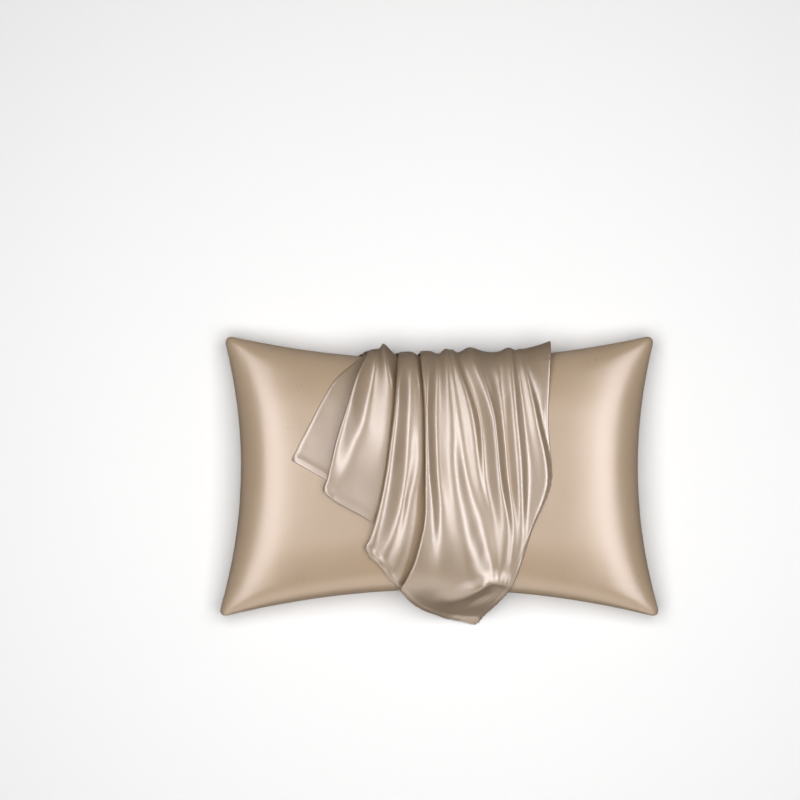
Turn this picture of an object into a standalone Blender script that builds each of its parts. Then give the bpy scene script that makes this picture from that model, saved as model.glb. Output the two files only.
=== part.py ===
"""An empty satin pillowcase draped in folds over a filled pillow in a matching case.

Metres, +Z up. The pillow lies on its back: X runs along its long side and +Y points to the edge
that the cloth hangs from. The origin is under the middle of the part, at the surface it lies on.

The cloth is worked out in two steps. A rest line for each X runs up the pillow's back edge, over
its crown and down in front of it to the floor. The fold lines then say where each fold runs in
plan and how high it stands on that rest line.
"""
from typing import NamedTuple

import bmesh
import bpy
import numpy as np

MM = 0.001

# The pillow, corner to corner, and how far its edges draw in at their middles.
PILLOW_LENGTH = 0.754
PILLOW_WIDTH = 0.488
SIDE_DRAW_IN = 0.036
BACK_DRAW_IN = 0.043
FRONT_DRAW_IN = 0.050
FRONT_FLARE = 0.013            # how much wider the front is than the middle, as a share
EAR_RADIUS = 0.018
# Its heights: the seam runs round it between the crown and the belly that it lies on.
SEAM_HEIGHT = 0.070
EAR_DROP = 0.022
CROWN = 0.085
BELLY = 0.090
SIDE_POWER = 3.4               # the higher the power, the flatter the middle
EDGE_POWER = 2.6
ROUNDNESS = 0.45
PILLOW_CELLS = (36, 24)
SEWN = 0.01 * MM               # rim points nearer than this are one

# The cloth of the empty case, two plies thick, and the layers of its folds.
CLOTH = 1.6 * MM
LAYER = 4.6 * MM               # from one layer of a fold to the next
TUCKED_LAYER = 2.7 * MM        # the same where the cloth is tucked in behind
REST_GAP = 0.6 * MM
EDGE_GAP = 2.2 * MM
FLOOR_GAP = 0.3 * MM
TUCKED_RUN = 0.030
TUCKED_BEND = 0.018
TUCKED_FAN = 27.0              # how fast the tucked cloth spreads from its middle, per square metre
TUCKED_MIDDLE = 0.030
LEAVES_PILLOW = -68.0          # where the cloth leaves the pillow's front, in degrees over it
FRONT_FALL = 0.075
FRONT_FOOT = 0.030
FRONT_REACH = 0.065           # from the pillow's front edge to the line's end
TUCKED_ROWS = 8
ROWS = 30


class FoldLine(NamedTuple):
    """A line of the cloth from its tucked end to its long seam, in millimetres.

    Its X, and how far it stands off the layers under it, are given at each of the stations from
    the pillow's back edge to the long seam.
    """

    name: str
    turn: int                  # -1 turns over at the left, 1 at the right, 0 doesn't turn
    x: tuple[float, ...]
    stand: tuple[float, ...]
    seam_y: float              # Y of its end at the long seam
    rank: float                # how many layers it lies on
    tucked: float              # how much of it hangs hidden behind the back edge
    spans: int                 # faces between it and the next line


FOLD_LINES = (
    FoldLine("flap edge", 0, (-127, -178, -200, -219, -238, -251),
             (0, 0, 0, 0, 0, 0), 29, 0, 93, 4),
    FoldLine("flap turn", 1, (-104, -128, -145, -158, -168, -176),
             (0, 0, 0, 0, 0, 0), -12, 0.5, 94, 2),
    FoldLine("first fold", -1, (-121, -147, -162, -177, -188, -198),
             (0, 19, 18, 15, 10, 2), -23, 1.5, 97, 1),
    FoldLine("first rim", 0, (-117, -143, -157, -171, -182, -191),
             (2, 21, 19, 15, 9, 2), -29, 2, 97, 3),
    FoldLine("first hollow", 0, (-102, -119, -127, -146, -162, -176),
             (4, -7, -7, -3, 2, 0), -40, 2, 97, 3),
    FoldLine("first crest", 0, (-96, -81, -85, -91, -100, -114),
             (15, 9, 10, 9, 7, 0), -74, 1.7, 96, 2),
    FoldLine("first foot", 0, (-76, -70, -75, -81, -90, -106),
             (1, 1, 1, 1, 1, 1), -89, 0, 94, 1),
    FoldLine("first turn", 1, (-62, -61, -66, -72, -82, -98),
             (0, 0, 0, 0, 0, 0), -116, 0.5, 95, 3),
    FoldLine("second fold", -1, (-70, -76, -84, -94, -110, -128),
             (0, 18, 18, 16, 12, 2), -122, 1.5, 94, 1),
    FoldLine("second rim", 0, (-64, -72, -78, -87, -103, -122),
             (1, 20, 19, 17, 13, 1), -131, 2, 93, 2),
    FoldLine("second hollow", 0, (-50, -51, -53, -60, -78, -103),
             (2, 2, -4, -7, -6, -6), -150, 2, 92, 3),
    FoldLine("second crest", 0, (-42, -31, -32, -50, -64, -86),
             (4, 12, 13, 11, 7, 2), -173, 0.6, 89, 2),
    FoldLine("second foot", 0, (-35, -19, -18, -22, -36, -68),
             (1, 1, 1, 1, 1, 1), -190, 0, 87, 1),
    FoldLine("second turn", 1, (-20, -10, -9, -13, -28, -60),
             (0, 0, 0, 0, 0, 0), -194, 0.5, 86, 3),
    FoldLine("third fold", -1, (-33, -26, -25, -25, -41, -71),
             (3, 16, 17, 16, 11, 2), -191, 1.5, 84, 2),
    FoldLine("third rim", 0, (-17, -21, -18, -13, -22, -56),
             (4, 18, 18, 15, 8, 1), -211, 2, 80, 3),
    FoldLine("third hollow", 0, (0, -6, -3, 3, 2, -38),
             (4, 2, 2, 9, 12, 6), -224, 0, 74, 3),
    FoldLine("broad ridge", 0, (10, 20, 24, 40, 64, 0),
             (15, 19, 22, 24, 17, 4), -242, 0, 66, 3),
    FoldLine("pool", 0, (17, 35, 47, 70, 88, 12),
             (11, 8, 0, 0, 7, 3), -245, 0, 62, 2),
    FoldLine("fourth fold", 0, (22, 58, 67, 88, 95, 18),
             (13, 23, 11, 3, 6, 3), -246, 0, 58, 2),
    FoldLine("fourth hollow", 0, (31, 68, 77, 95, 99, 23),
             (5, 1, 2, 4, 5, 3), -247, 0, 52, 3),
    FoldLine("fifth fold", 0, (52, 90, 99, 108, 103, 28),
             (17, 21, 20, 10, 5, 3), -249, 0, 46, 2),
    FoldLine("sixth fold", 0, (71, 95, 104, 117, 107, 33),
             (8, 21, 20, 11, 4, 3), -250, 0, 38, 2),
    FoldLine("sixth hollow", 0, (98, 108, 116, 126, 110, 38),
             (4, 1, 1, 5, 4, 3), -251, 0, 33, 2),
    FoldLine("seventh ridge", 0, (120, 130, 137, 139, 113, 43),
             (13, 22, 22, 10, 3, 3), -252, 0, 24, 2),
    FoldLine("seventh hollow", 0, (130, 144, 151, 147, 116, 48),
             (5, 1, 3, 6, 3, 3), -253, 0, 21, 3),
    FoldLine("last fold", 0, (138, 166, 184, 152, 120, 55),
             (9, 16, 14, 5, 3, 3), -255, 0, 16, 2),
    FoldLine("band crease", 0, (143, 171, 187, 154, 121, 59),
             (6, 2, 3, 4, 3, 2), -255, 0, 14, 3),
    FoldLine("open end", 0, (190, 184, 190, 156, 123, 63),
             (14, 1, 0.5, 0, 0, 0), -256, 0, 10, 0),
)
STATIONS = (0.0, 0.25, 0.45, 0.65, 0.85, 1.0)   # where along a line its X and stand are given
REST_LINES = 30                                 # rest lines worked out across the cloth
REST_STEP = 2.0 * MM                            # along each of them
FIELD_MARGIN = 60 * MM                          # how far they reach past the fold lines
PROFILE_POINTS = 80
BEND_POINTS = 20
SETTLING_STEPS = 4                              # to find X along a line whose length depends on it

SATIN = (0.60, 0.48, 0.40, 1.0)
CASE_SATIN = (0.64, 0.53, 0.46, 1.0)
SATIN_ROUGHNESS = 0.36
SATIN_METALLIC = 0.45


def half_length(b):
    """Half the pillow's length where it is crossed at b, from -1 in front to 1 at the back."""
    return PILLOW_LENGTH / 2 * (1 - FRONT_FLARE * b) - SIDE_DRAW_IN * (1 - b * b)


def half_width(a, b):
    """Half its width at a, from -1 at the left to 1 at the right, on the side that b is on."""
    draw_in = (BACK_DRAW_IN + FRONT_DRAW_IN) / 2 + (BACK_DRAW_IN - FRONT_DRAW_IN) / 2 * b
    return PILLOW_WIDTH / 2 - draw_in * (1 - a * a)


def round_ear(a, b):
    """Pull a point of the square's corner in to a quarter circle of the ear's radius."""
    reach_a = 2 * EAR_RADIUS / PILLOW_LENGTH
    reach_b = 2 * EAR_RADIUS / PILLOW_WIDTH
    p = (abs(a) - 1 + reach_a) / reach_a
    q = (abs(b) - 1 + reach_b) / reach_b
    if p <= 0 or q <= 0:
        return a, b
    round_p = p * np.sqrt(1 - q * q / 2)
    round_q = q * np.sqrt(1 - p * p / 2)
    return (np.sign(a) * (1 - reach_a + reach_a * round_p),
            np.sign(b) * (1 - reach_b + reach_b * round_q))


def fullness(a, b):
    """How full the pillow is at a and b, from 0 at its seam to 1 in the middle."""
    return ((1 - abs(a) ** SIDE_POWER) * (1 - abs(b) ** EDGE_POWER)) ** ROUNDNESS


def seam_height(a, b):
    """Height of the middle between crown and belly, which drops towards the ears."""
    return SEAM_HEIGHT - EAR_DROP * (a * b) ** 2


def pillow_point(grid_x, grid_y, thick):
    """A point of the pillow's surface, on its crown where thick is above 0."""
    a = np.sin(np.pi / 2 * grid_x)
    b = np.sin(np.pi / 2 * grid_y)
    height = seam_height(a, b) + thick * fullness(a, b)
    a, b = round_ear(a, b)
    return a * half_length(b), b * half_width(a, b), max(height, 0)


def build_pillow():
    """The pillow: two grids for its crown and its belly, sewn together at their rims."""
    cells_x, cells_y = PILLOW_CELLS
    mesh = bpy.data.meshes.new("pillow")
    form = bmesh.new()
    for thick in (CROWN, -BELLY):
        made = bmesh.ops.create_grid(form, x_segments=cells_x, y_segments=cells_y, size=1)
        for vert in made["verts"]:
            vert.co = pillow_point(vert.co.x, vert.co.y, thick)
        if thick < 0:
            faces = {face for vert in made["verts"] for face in vert.link_faces}
            bmesh.ops.reverse_faces(form, faces=list(faces))
    rim = [vert for vert in form.verts if vert.is_boundary]
    bmesh.ops.remove_doubles(form, verts=rim, dist=SEWN)
    form.to_mesh(mesh)
    form.free()
    return mesh


def over_pillow(x):
    """The cloth's middle in Y and Z where it lies on the pillow at x, from its back edge on."""
    b = np.sin(np.radians(np.linspace(90, LEAVES_PILLOW, PROFILE_POINTS)))
    a = x / half_length(b)
    skin = np.stack([b * half_width(a, b), seam_height(a, b) + CROWN * fullness(a, b)], 1)
    along = np.gradient(skin, axis=0)
    outward = np.stack([along[:, 1], -along[:, 0]], 1) / np.linalg.norm(along, axis=1)[:, None]
    gap = REST_GAP + (EDGE_GAP - REST_GAP) * b ** 4
    return skin + (CLOTH / 2 + gap)[:, None] * outward


def behind_pillow(back):
    """The same where it hangs behind the pillow and is tucked in under it, up to the back edge."""
    turn = np.radians(np.linspace(-90, 0, BEND_POINTS))
    centre = (back[0] - TUCKED_BEND, CLOTH / 2 + FLOOR_GAP + 2 * TUCKED_LAYER + TUCKED_BEND)
    bend = centre + TUCKED_BEND * np.stack([np.cos(turn), np.sin(turn)], 1)
    return np.vstack([bend[0] - (TUCKED_RUN, 0), bend])


def down_in_front(over, x):
    """The same where it falls from the pillow's front and runs out on the floor: a cubic curve."""
    start, heading = over[-1], over[-1] - over[-2]
    front = half_width(x / half_length(-1.0), -1.0)
    end = np.array([-front - FRONT_REACH, CLOTH / 2 + FLOOR_GAP])
    falls_to = start + FRONT_FALL * heading / np.linalg.norm(heading)
    comes_from = end + (FRONT_FOOT, 0)
    t = np.linspace(0, 1, BEND_POINTS)[1:, None]
    return ((1 - t) ** 3 * start + 3 * (1 - t) ** 2 * t * falls_to
            + 3 * (1 - t) * t ** 2 * comes_from + t ** 3 * end)


def rest_line(x):
    """The line in Y and Z that the cloth's middle rests along at x, and its length at each point.

    The length counts from the pillow's back edge, so it is negative where the cloth is tucked in.
    """
    over = over_pillow(x)
    behind = behind_pillow(over[0])
    points = np.vstack([behind, over, down_in_front(over, x)])
    length = length_along(points)
    return points, length - length[len(behind)]


def length_along(points):
    """Distance along a line of points, at each of them."""
    return np.concatenate([[0], np.cumsum(np.linalg.norm(np.diff(points, axis=0), axis=1))])


class RestField:
    """The rest lines of the whole cloth, read at any X and any distance from the back edge."""

    def __init__(self):
        places = [MM * x for line in FOLD_LINES for x in line.x]
        self.x = np.linspace(min(places) - FIELD_MARGIN, max(places) + FIELD_MARGIN, REST_LINES)
        lines = [rest_line(x) for x in self.x]
        first = max(length[0] for _, length in lines)
        last = min(length[-1] for _, length in lines)
        self.s = np.arange(first, last, REST_STEP)
        self.table = np.array([[np.interp(self.s, length, points[:, k]) for k in (0, 1)]
                               for points, length in lines])
        self.slope = np.gradient(self.table, REST_STEP, axis=2)

    def read(self, values, x, s):
        """A value of the field at x and s, between its four neighbours."""
        i = (x - self.x[0]) / (self.x[1] - self.x[0])
        j = (s - self.s[0]) / REST_STEP
        i0 = np.clip(i.astype(int), 0, len(self.x) - 2)
        j0 = np.clip(j.astype(int), 0, len(self.s) - 2)
        i, j = i - i0, j - j0
        near = values[i0, j0] * (1 - j) + values[i0, j0 + 1] * j
        far = values[i0 + 1, j0] * (1 - j) + values[i0 + 1, j0 + 1] * j
        return near * (1 - i) + far * i

    def place(self, x, s, lift):
        """The point that stands lift above the rest line at x and s."""
        y, z = (self.read(self.table[:, k], x, s) for k in (0, 1))
        along_y, along_z = (self.read(self.slope[:, k], x, s) for k in (0, 1))
        size = np.hypot(along_y, along_z)
        return np.stack([x, y + lift * along_z / size, z - lift * along_y / size], -1)

    def distance(self, x, y, lift):
        """How far in front of the back edge a point that stands lift above x lies at y in plan."""
        s = self.s[self.s >= 0]
        at = self.place(np.full_like(s, x), s, np.full_like(s, lift))
        return np.interp(-y, -at[:, 1], s)


def smooth_through(stations, values, at):
    """A curve through values at its stations, read at the places given, that never overshoots."""
    stations, values = np.asarray(stations, float), np.asarray(values, float)
    step = np.diff(stations)
    slope = np.diff(values) / step
    before, after = slope[:-1], slope[1:]
    same_way = before * after > 0
    whole = 3 * (step[1:] + step[:-1])
    parts = np.divide(2 * step[1:] + step[:-1], before, out=np.ones_like(before), where=same_way)
    parts += np.divide(step[1:] + 2 * step[:-1], after, out=np.zeros_like(before), where=same_way)
    tangent = np.concatenate([slope[:1], np.where(same_way, whole / parts, 0), slope[-1:]])
    i = np.clip(np.searchsorted(stations, at, side="right") - 1, 0, len(step) - 1)
    t = (at - stations[i]) / step[i]
    return ((1 + 2 * t) * (1 - t) ** 2 * values[i] + t * (1 - t) ** 2 * step[i] * tangent[i]
            + t * t * (3 - 2 * t) * values[i + 1] - t * t * (1 - t) * step[i] * tangent[i + 1])


def fold_line_points(line, field):
    """X, distance from the back edge and lift of a fold line, once for each of the cloth's rows."""
    places = MM * np.array(line.x)
    end = field.distance(places[-1], MM * line.seam_y, MM * line.stand[-1] + line.rank * LAYER)
    s = np.concatenate([np.linspace(-MM * line.tucked, 0, TUCKED_ROWS, endpoint=False),
                        np.linspace(0, end, ROWS - TUCKED_ROWS + 1)])
    x = np.full_like(s, places[0])
    back_y = field.read(field.table[:, 0], x, np.zeros_like(s))
    for _ in range(SETTLING_STEPS):
        y = field.read(field.table[:, 0], x, s)
        share = np.where(s < 0, 0, np.clip((back_y - y) / (back_y - MM * line.seam_y), 0, 1))
        x = smooth_through(STATIONS, places, share)
        x += (places[0] - TUCKED_MIDDLE) * TUCKED_FAN * np.minimum(s, 0) ** 2
    stand = smooth_through(STATIONS, MM * np.array(line.stand), share)
    in_sight = np.clip(1 + s / SEAM_HEIGHT, 0, 1)
    layer = np.interp(s, (-SEAM_HEIGHT, SEAM_HEIGHT), (TUCKED_LAYER, LAYER))
    return x, s, line.rank * layer + stand * in_sight, layer


def cloth_lines(field):
    """Every line that the cloth's sections pass through: a fold that turns over takes three."""
    lines = []
    spans = []
    for line in FOLD_LINES:
        x, s, lift, layer = fold_line_points(line, field)
        points = np.stack([x, s, lift], 1)
        if line.turn:
            half = layer / 2
            back = np.stack([-line.turn * half, 0 * half, half], 1)
            lines += [points + back * (1, 1, -1), points, points + back]
            spans += [2, 2, line.spans]
        else:
            lines.append(points)
            spans.append(line.spans)
    return np.array(lines), spans[:-1]


def cloth_sections(lines, spans):
    """Smooth sections across the fold lines, one for each row, each with the same points."""
    sections = []
    for row in range(lines.shape[1]):
        points = lines[:, row]
        knots = length_along(points[:, [0, 2]])
        at = np.concatenate([np.linspace(knots[i], knots[i + 1], spans[i], endpoint=False)
                             for i in range(len(spans))] + [[knots[-1]]])
        sections.append(np.stack([smooth_through(knots, points[:, k], at) for k in range(3)], 1))
    return np.array(sections)


def build_draped_case():
    """The empty case: one sheet on its sections, as thick as its two plies."""
    field = RestField()
    lines, spans = cloth_lines(field)
    sections = cloth_sections(lines, spans)
    points = field.place(sections[..., 0], sections[..., 1], sections[..., 2])
    rows, columns = points.shape[0] - 1, points.shape[1] - 1
    mesh = bpy.data.meshes.new("draped_case")
    form = bmesh.new()
    bmesh.ops.create_grid(form, x_segments=columns, y_segments=rows, size=1)
    for vert in form.verts:
        column = round((vert.co.x + 1) / 2 * columns)
        row = round((1 - vert.co.y) / 2 * rows)
        vert.co = points[row, column]
    form.to_mesh(mesh)
    form.free()
    return mesh


def satin(name, colour):
    """Champagne satin: a soft metallic sheen over a warm base."""
    material = bpy.data.materials.new(name)
    material.use_nodes = True
    shader = material.node_tree.nodes["Principled BSDF"]
    shader.inputs["Base Color"].default_value = colour
    shader.inputs["Roughness"].default_value = SATIN_ROUGHNESS
    shader.inputs["Metallic"].default_value = SATIN_METALLIC
    return material


def add_piece(mesh, material, collection):
    """Put a mesh in the collection as an object of the mesh's own name."""
    piece = bpy.data.objects.new(mesh.name, mesh)
    mesh.materials.append(material)
    mesh.shade_smooth()
    collection.objects.link(piece)
    return piece


def centre_on_origin(pieces):
    """Move every piece so that the whole part's middle is at X = 0 and Y = 0."""
    corners = np.array([vert.co for piece in pieces for vert in piece.data.vertices])
    middle = (corners.min(axis=0) + corners.max(axis=0)) / 2
    for piece in pieces:
        piece.location = (-middle[0], -middle[1], 0)


def main():
    for old in list(bpy.data.objects):
        bpy.data.objects.remove(old, do_unlink=True)
    collection = bpy.data.collections.new("pillowcase_draped_over_pillow")
    bpy.context.scene.collection.children.link(collection)
    pillow = add_piece(build_pillow(), satin("pillow_satin", SATIN), collection)
    case = add_piece(build_draped_case(), satin("case_satin", CASE_SATIN), collection)
    plies = case.modifiers.new("two plies", "SOLIDIFY")
    plies.thickness = CLOTH
    plies.offset = 0
    centre_on_origin([pillow, case])


main()
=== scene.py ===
"""Looks of an empty satin pillowcase draped in folds over a filled pillow in a matching case.

Metres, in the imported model's frame: X runs along the pillow, +Y points to the edge that the cloth
hangs from and +Z is up. The camera looks straight down, as in the photograph.
"""
from __future__ import annotations

import logging
import math
from dataclasses import dataclass, field
from enum import Enum
from typing import Mapping, NamedTuple, Sequence

import bpy
import numpy as np
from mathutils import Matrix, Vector


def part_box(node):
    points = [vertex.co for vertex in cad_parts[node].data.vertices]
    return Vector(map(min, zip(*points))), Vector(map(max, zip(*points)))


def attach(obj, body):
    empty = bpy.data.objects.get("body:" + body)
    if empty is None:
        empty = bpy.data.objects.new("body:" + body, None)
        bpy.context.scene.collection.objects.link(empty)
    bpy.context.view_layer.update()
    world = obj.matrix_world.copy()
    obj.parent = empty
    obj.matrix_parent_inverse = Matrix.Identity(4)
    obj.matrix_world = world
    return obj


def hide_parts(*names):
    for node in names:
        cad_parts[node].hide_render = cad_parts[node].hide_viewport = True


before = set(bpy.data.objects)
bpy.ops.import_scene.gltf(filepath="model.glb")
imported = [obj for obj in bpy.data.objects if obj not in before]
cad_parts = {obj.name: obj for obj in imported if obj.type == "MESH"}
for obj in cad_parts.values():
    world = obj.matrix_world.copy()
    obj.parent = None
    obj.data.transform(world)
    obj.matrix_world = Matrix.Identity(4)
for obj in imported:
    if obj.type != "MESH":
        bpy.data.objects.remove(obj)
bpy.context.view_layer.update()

MM = 0.001
CLOTH_AT = "cloth_at"           # the attribute that says where on the flat cloth a point is
Colour = tuple[float, float, float]
log = logging.getLogger("pillowcase")


# Shader maths


class Shade:
    """A value on a shader socket: Python's operators on it add Math nodes."""

    def __init__(self, graph: Graph, socket: bpy.types.NodeSocket) -> None:
        """Wrap a socket of a graph."""
        self.graph = graph
        self.socket = socket

    def _math(self, operation: str, first: Link, second: Link) -> Shade:
        """The result of one Math node."""
        return self.graph.add("ShaderNodeMath", {"operation": operation}, {0: first, 1: second})

    def __add__(self, other: Link) -> Shade:
        """Their sum."""
        return self._math("ADD", self, other)

    __radd__ = __add__

    def __sub__(self, other: Link) -> Shade:
        """Their difference."""
        return self._math("SUBTRACT", self, other)

    def __rsub__(self, other: Link) -> Shade:
        """Their difference, the other way round."""
        return self._math("SUBTRACT", other, self)

    def __mul__(self, other: Link) -> Shade:
        """Their product."""
        return self._math("MULTIPLY", self, other)

    __rmul__ = __mul__


Link = Shade | float | int | tuple[float, ...]


class Graph:
    """The node graph of one material."""

    def __init__(self, name: str) -> None:
        """Make a material with a bare Principled shader.

        Args:
            name: the material's name.
        """
        self.material = bpy.data.materials.new(name)
        self.material.use_nodes = True
        self.nodes = self.material.node_tree.nodes
        self.links = self.material.node_tree.links
        self.shader = self.nodes["Principled BSDF"]

    def add(
        self,
        kind: str,
        settings: Mapping[str, object],
        inputs: Mapping[str | int, Link],
        output: str | int = 0,
    ) -> Shade:
        """Add a node and take one of its outputs.

        Args:
            kind: the node's type.
            settings: its properties, which are set before its sockets.
            inputs: the value or link of each of its sockets, by name or number.
            output: the socket that the result comes from.

        Returns:
            The output, ready for maths.
        """
        node = self.nodes.new(kind)
        for name, value in settings.items():
            setattr(node, name, value)
        for name, value in inputs.items():
            self.join(node.inputs[name], value)
        return Shade(self, node.outputs[output])

    def join(self, socket: bpy.types.NodeSocket, value: Link) -> None:
        """Link a socket to a shade, or set its own value.

        Args:
            socket: a node's socket.
            value: what it gets.
        """
        if isinstance(value, Shade):
            self.links.new(value.socket, socket)
        else:
            socket.default_value = value

    def finish(self, inputs: Mapping[str, Link]) -> bpy.types.Material:
        """Give the Principled shader its values and links.

        Args:
            inputs: the value or link of each of its sockets, by name.

        Returns:
            The finished material.
        """
        for name, value in inputs.items():
            self.join(self.shader.inputs[name], value)
        return self.material

    def noise(self, at: Shade, pitch: tuple[float, float]) -> Shade:
        """Soft noise over a surface.

        Args:
            at: where each point is, in metres.
            pitch: the size of the noise's blots in the first two directions, in metres.

        Returns:
            A value from 0 to 1.
        """
        scale = (1 / pitch[0], 1 / pitch[1], 1.0)
        stretched = self.add("ShaderNodeVectorMath", {"operation": "MULTIPLY"}, {0: at, 1: scale})
        return self.add("ShaderNodeTexNoise", {},
                        {"Vector": stretched, "Scale": 1.0, "Detail": 2.0}, "Fac")

    def blend(self, factor: Link, first: Link, second: Link) -> Shade:
        """A colour between two, by a factor from 0 to 1."""
        return self.add("ShaderNodeMix", {"data_type": "RGBA"},
                        {0: factor, 6: first, 7: second}, 2)


@dataclass(frozen=True)
class Satin:
    """Champagne satin: a warm gleam over fine threads, with slubs and soft changes of tone."""

    name: str
    light: Colour
    dark: Colour
    roughness: float = 0.30
    ior: float = 1.8
    gleam: Colour = (1.0, 0.95, 1.0)
    thread: tuple[float, float] = (0.5 * MM, 14 * MM)
    slub: tuple[float, float] = (2.2 * MM, 45 * MM)
    cloud: tuple[float, float] = (0.10, 0.16)
    thread_tone: float = 0.35
    slub_tone: float = 0.5
    cloud_tone: float = 0.9
    thread_roughness: float = 0.08
    cloud_roughness: float = 0.10
    relief: float = 0.08 * MM
    thread_relief: float = 0.6
    slub_relief: float = 0.4
    bump: float = 0.5

    def build(self) -> bpy.types.Material:
        """Work out by nodes all that varies over the cloth.

        Returns:
            The material.
        """
        graph = Graph(self.name)
        at = graph.add("ShaderNodeAttribute", {"attribute_name": CLOTH_AT}, {}, "Vector")
        threads = graph.noise(at, self.thread)
        slubs = graph.noise(at, self.slub)
        clouds = graph.noise(at, self.cloud)
        tone = (0.5 + self.cloud_tone * (clouds - 0.5) + self.slub_tone * (slubs - 0.5)
                + self.thread_tone * (threads - 0.5))
        colour = graph.blend(tone, (*self.dark, 1.0), (*self.light, 1.0))
        height = self.thread_relief * threads + self.slub_relief * slubs
        normal = graph.add("ShaderNodeBump", {},
                           {"Strength": self.bump, "Distance": self.relief, "Height": height})
        return graph.finish({
            "Base Color": colour,
            "Roughness": (self.roughness + self.cloud_roughness * (clouds - 0.5)
                          + self.thread_roughness * (threads - 0.5)),
            "IOR": self.ior,
            "Specular Tint": (*self.gleam, 1.0),
            "Normal": normal,
        })


@dataclass(frozen=True)
class Matt:
    """A plain finish with soft blots: a thread's fuzz, or the faint tones of a floor."""

    name: str
    colour: Colour
    blot: float
    shade: float                    # how light its darker blots are
    roughness: float
    uneven: float = 0.0             # how much rougher its lighter blots are

    def build(self) -> bpy.types.Material:
        """Work out its blots by nodes.

        Returns:
            The material.
        """
        graph = Graph(self.name)
        at = graph.add("ShaderNodeTexCoord", {}, {}, "Object")
        blots = graph.noise(at, (self.blot, self.blot))
        dark = tuple(self.shade * value for value in self.colour)
        colour = graph.blend(blots, (*dark, 1.0), (*self.colour, 1.0))
        roughness = self.roughness + self.uneven * blots if self.uneven else self.roughness
        return graph.finish({"Base Color": colour, "Roughness": roughness})


# Curves, noise and meshes


def length_along(points: np.ndarray) -> np.ndarray:
    """Distance along a line of points, at each of them."""
    return np.concatenate([[0.0], np.cumsum(np.linalg.norm(np.diff(points, axis=0), axis=1))])


def smooth_through(stations: Sequence[float], values: Sequence[float],
                   at: np.ndarray) -> np.ndarray:
    """A curve through values at its stations, which never overshoots.

    Args:
        stations: rising places that have a value.
        values: the value at each of them.
        at: the places to read it at.

    Returns:
        The curve's value at each of those places.
    """
    stations = np.asarray(stations, float)
    values = np.asarray(values, float)
    step = np.diff(stations)
    slope = np.diff(values) / step
    before, after = slope[:-1], slope[1:]
    same_way = before * after > 0
    whole = 3 * (step[1:] + step[:-1])
    parts = np.divide(2 * step[1:] + step[:-1], before, out=np.ones_like(before), where=same_way)
    parts += np.divide(step[1:] + 2 * step[:-1], after, out=np.zeros_like(before), where=same_way)
    tangent = np.concatenate([slope[:1], np.where(same_way, whole / parts, 0), slope[-1:]])
    i = np.clip(np.searchsorted(stations, at, side="right") - 1, 0, len(step) - 1)
    t = (at - stations[i]) / step[i]
    return ((1 + 2 * t) * (1 - t) ** 2 * values[i] + t * (1 - t) ** 2 * step[i] * tangent[i]
            + t * t * (3 - 2 * t) * values[i + 1] - t * t * (1 - t) * step[i] * tangent[i + 1])


def unit(vectors: np.ndarray) -> np.ndarray:
    """The same vectors, each made 1 long."""
    return vectors / np.linalg.norm(vectors, axis=-1)[..., None]


def ease(value: np.ndarray) -> np.ndarray:
    """A soft step: 0 below 0, 1 above 1 and level at both."""
    t = np.clip(value, 0, 1)
    return t * t * (3 - 2 * t)


class SoftNoise:
    """Smooth noise over a plane, the same at every run."""

    SIZE = 64

    def __init__(self, seed: int) -> None:
        """Draw the values at the lattice's points."""
        self.lattice = np.random.default_rng(seed).uniform(-1, 1, (self.SIZE, self.SIZE))

    def read(self, x: np.ndarray, y: np.ndarray) -> np.ndarray:
        """Read the noise, whose blots are about 1 wide.

        Args:
            x: each place's first coordinate.
            y: its second one.

        Returns:
            A value from -1 to 1 at each place.
        """
        i, j = np.floor(x).astype(int), np.floor(y).astype(int)
        u, v = ease(x - i), ease(y - j)
        i, j = i % self.SIZE, j % self.SIZE
        i1, j1 = (i + 1) % self.SIZE, (j + 1) % self.SIZE
        near = self.lattice[i, j] * (1 - v) + self.lattice[i, j1] * v
        far = self.lattice[i1, j] * (1 - v) + self.lattice[i1, j1] * v
        return near * (1 - u) + far * u


def grid_faces(first: np.ndarray, second: np.ndarray, flip: bool = False) -> np.ndarray:
    """Faces between lines of points and the lines beside them.

    Args:
        first: the indices of the points along each line.
        second: those along the line beside it, in the same order.
        flip: whether the faces look the other way.

    Returns:
        The faces, four indices each.
    """
    faces = np.stack([first[..., :-1], first[..., 1:], second[..., 1:], second[..., :-1]], -1)
    faces = faces.reshape(-1, 4)
    return faces[:, ::-1] if flip else faces


def make_piece(name: str, points: np.ndarray, faces: np.ndarray, finish: bpy.types.Material,
               cloth_at: np.ndarray | None = None) -> bpy.types.Object:
    """Make a smooth mesh object.

    Args:
        name: the piece's name.
        points: its vertices.
        faces: its faces, four indices each.
        finish: its material.
        cloth_at: where on the flat cloth each vertex is, if its finish reads that.

    Returns:
        The object, in the scene.
    """
    mesh = bpy.data.meshes.new(name)
    mesh.from_pydata(points.tolist(), [], faces.tolist())
    if cloth_at is not None:
        attribute = mesh.attributes.new(CLOTH_AT, "FLOAT_VECTOR", "POINT")
        attribute.data.foreach_set("vector", np.ascontiguousarray(cloth_at, np.float32).ravel())
    mesh.materials.append(finish)
    mesh.shade_smooth()
    mesh.update()
    piece = bpy.data.objects.new(name, mesh)
    bpy.context.scene.collection.objects.link(piece)
    return piece


# The pillow


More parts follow.
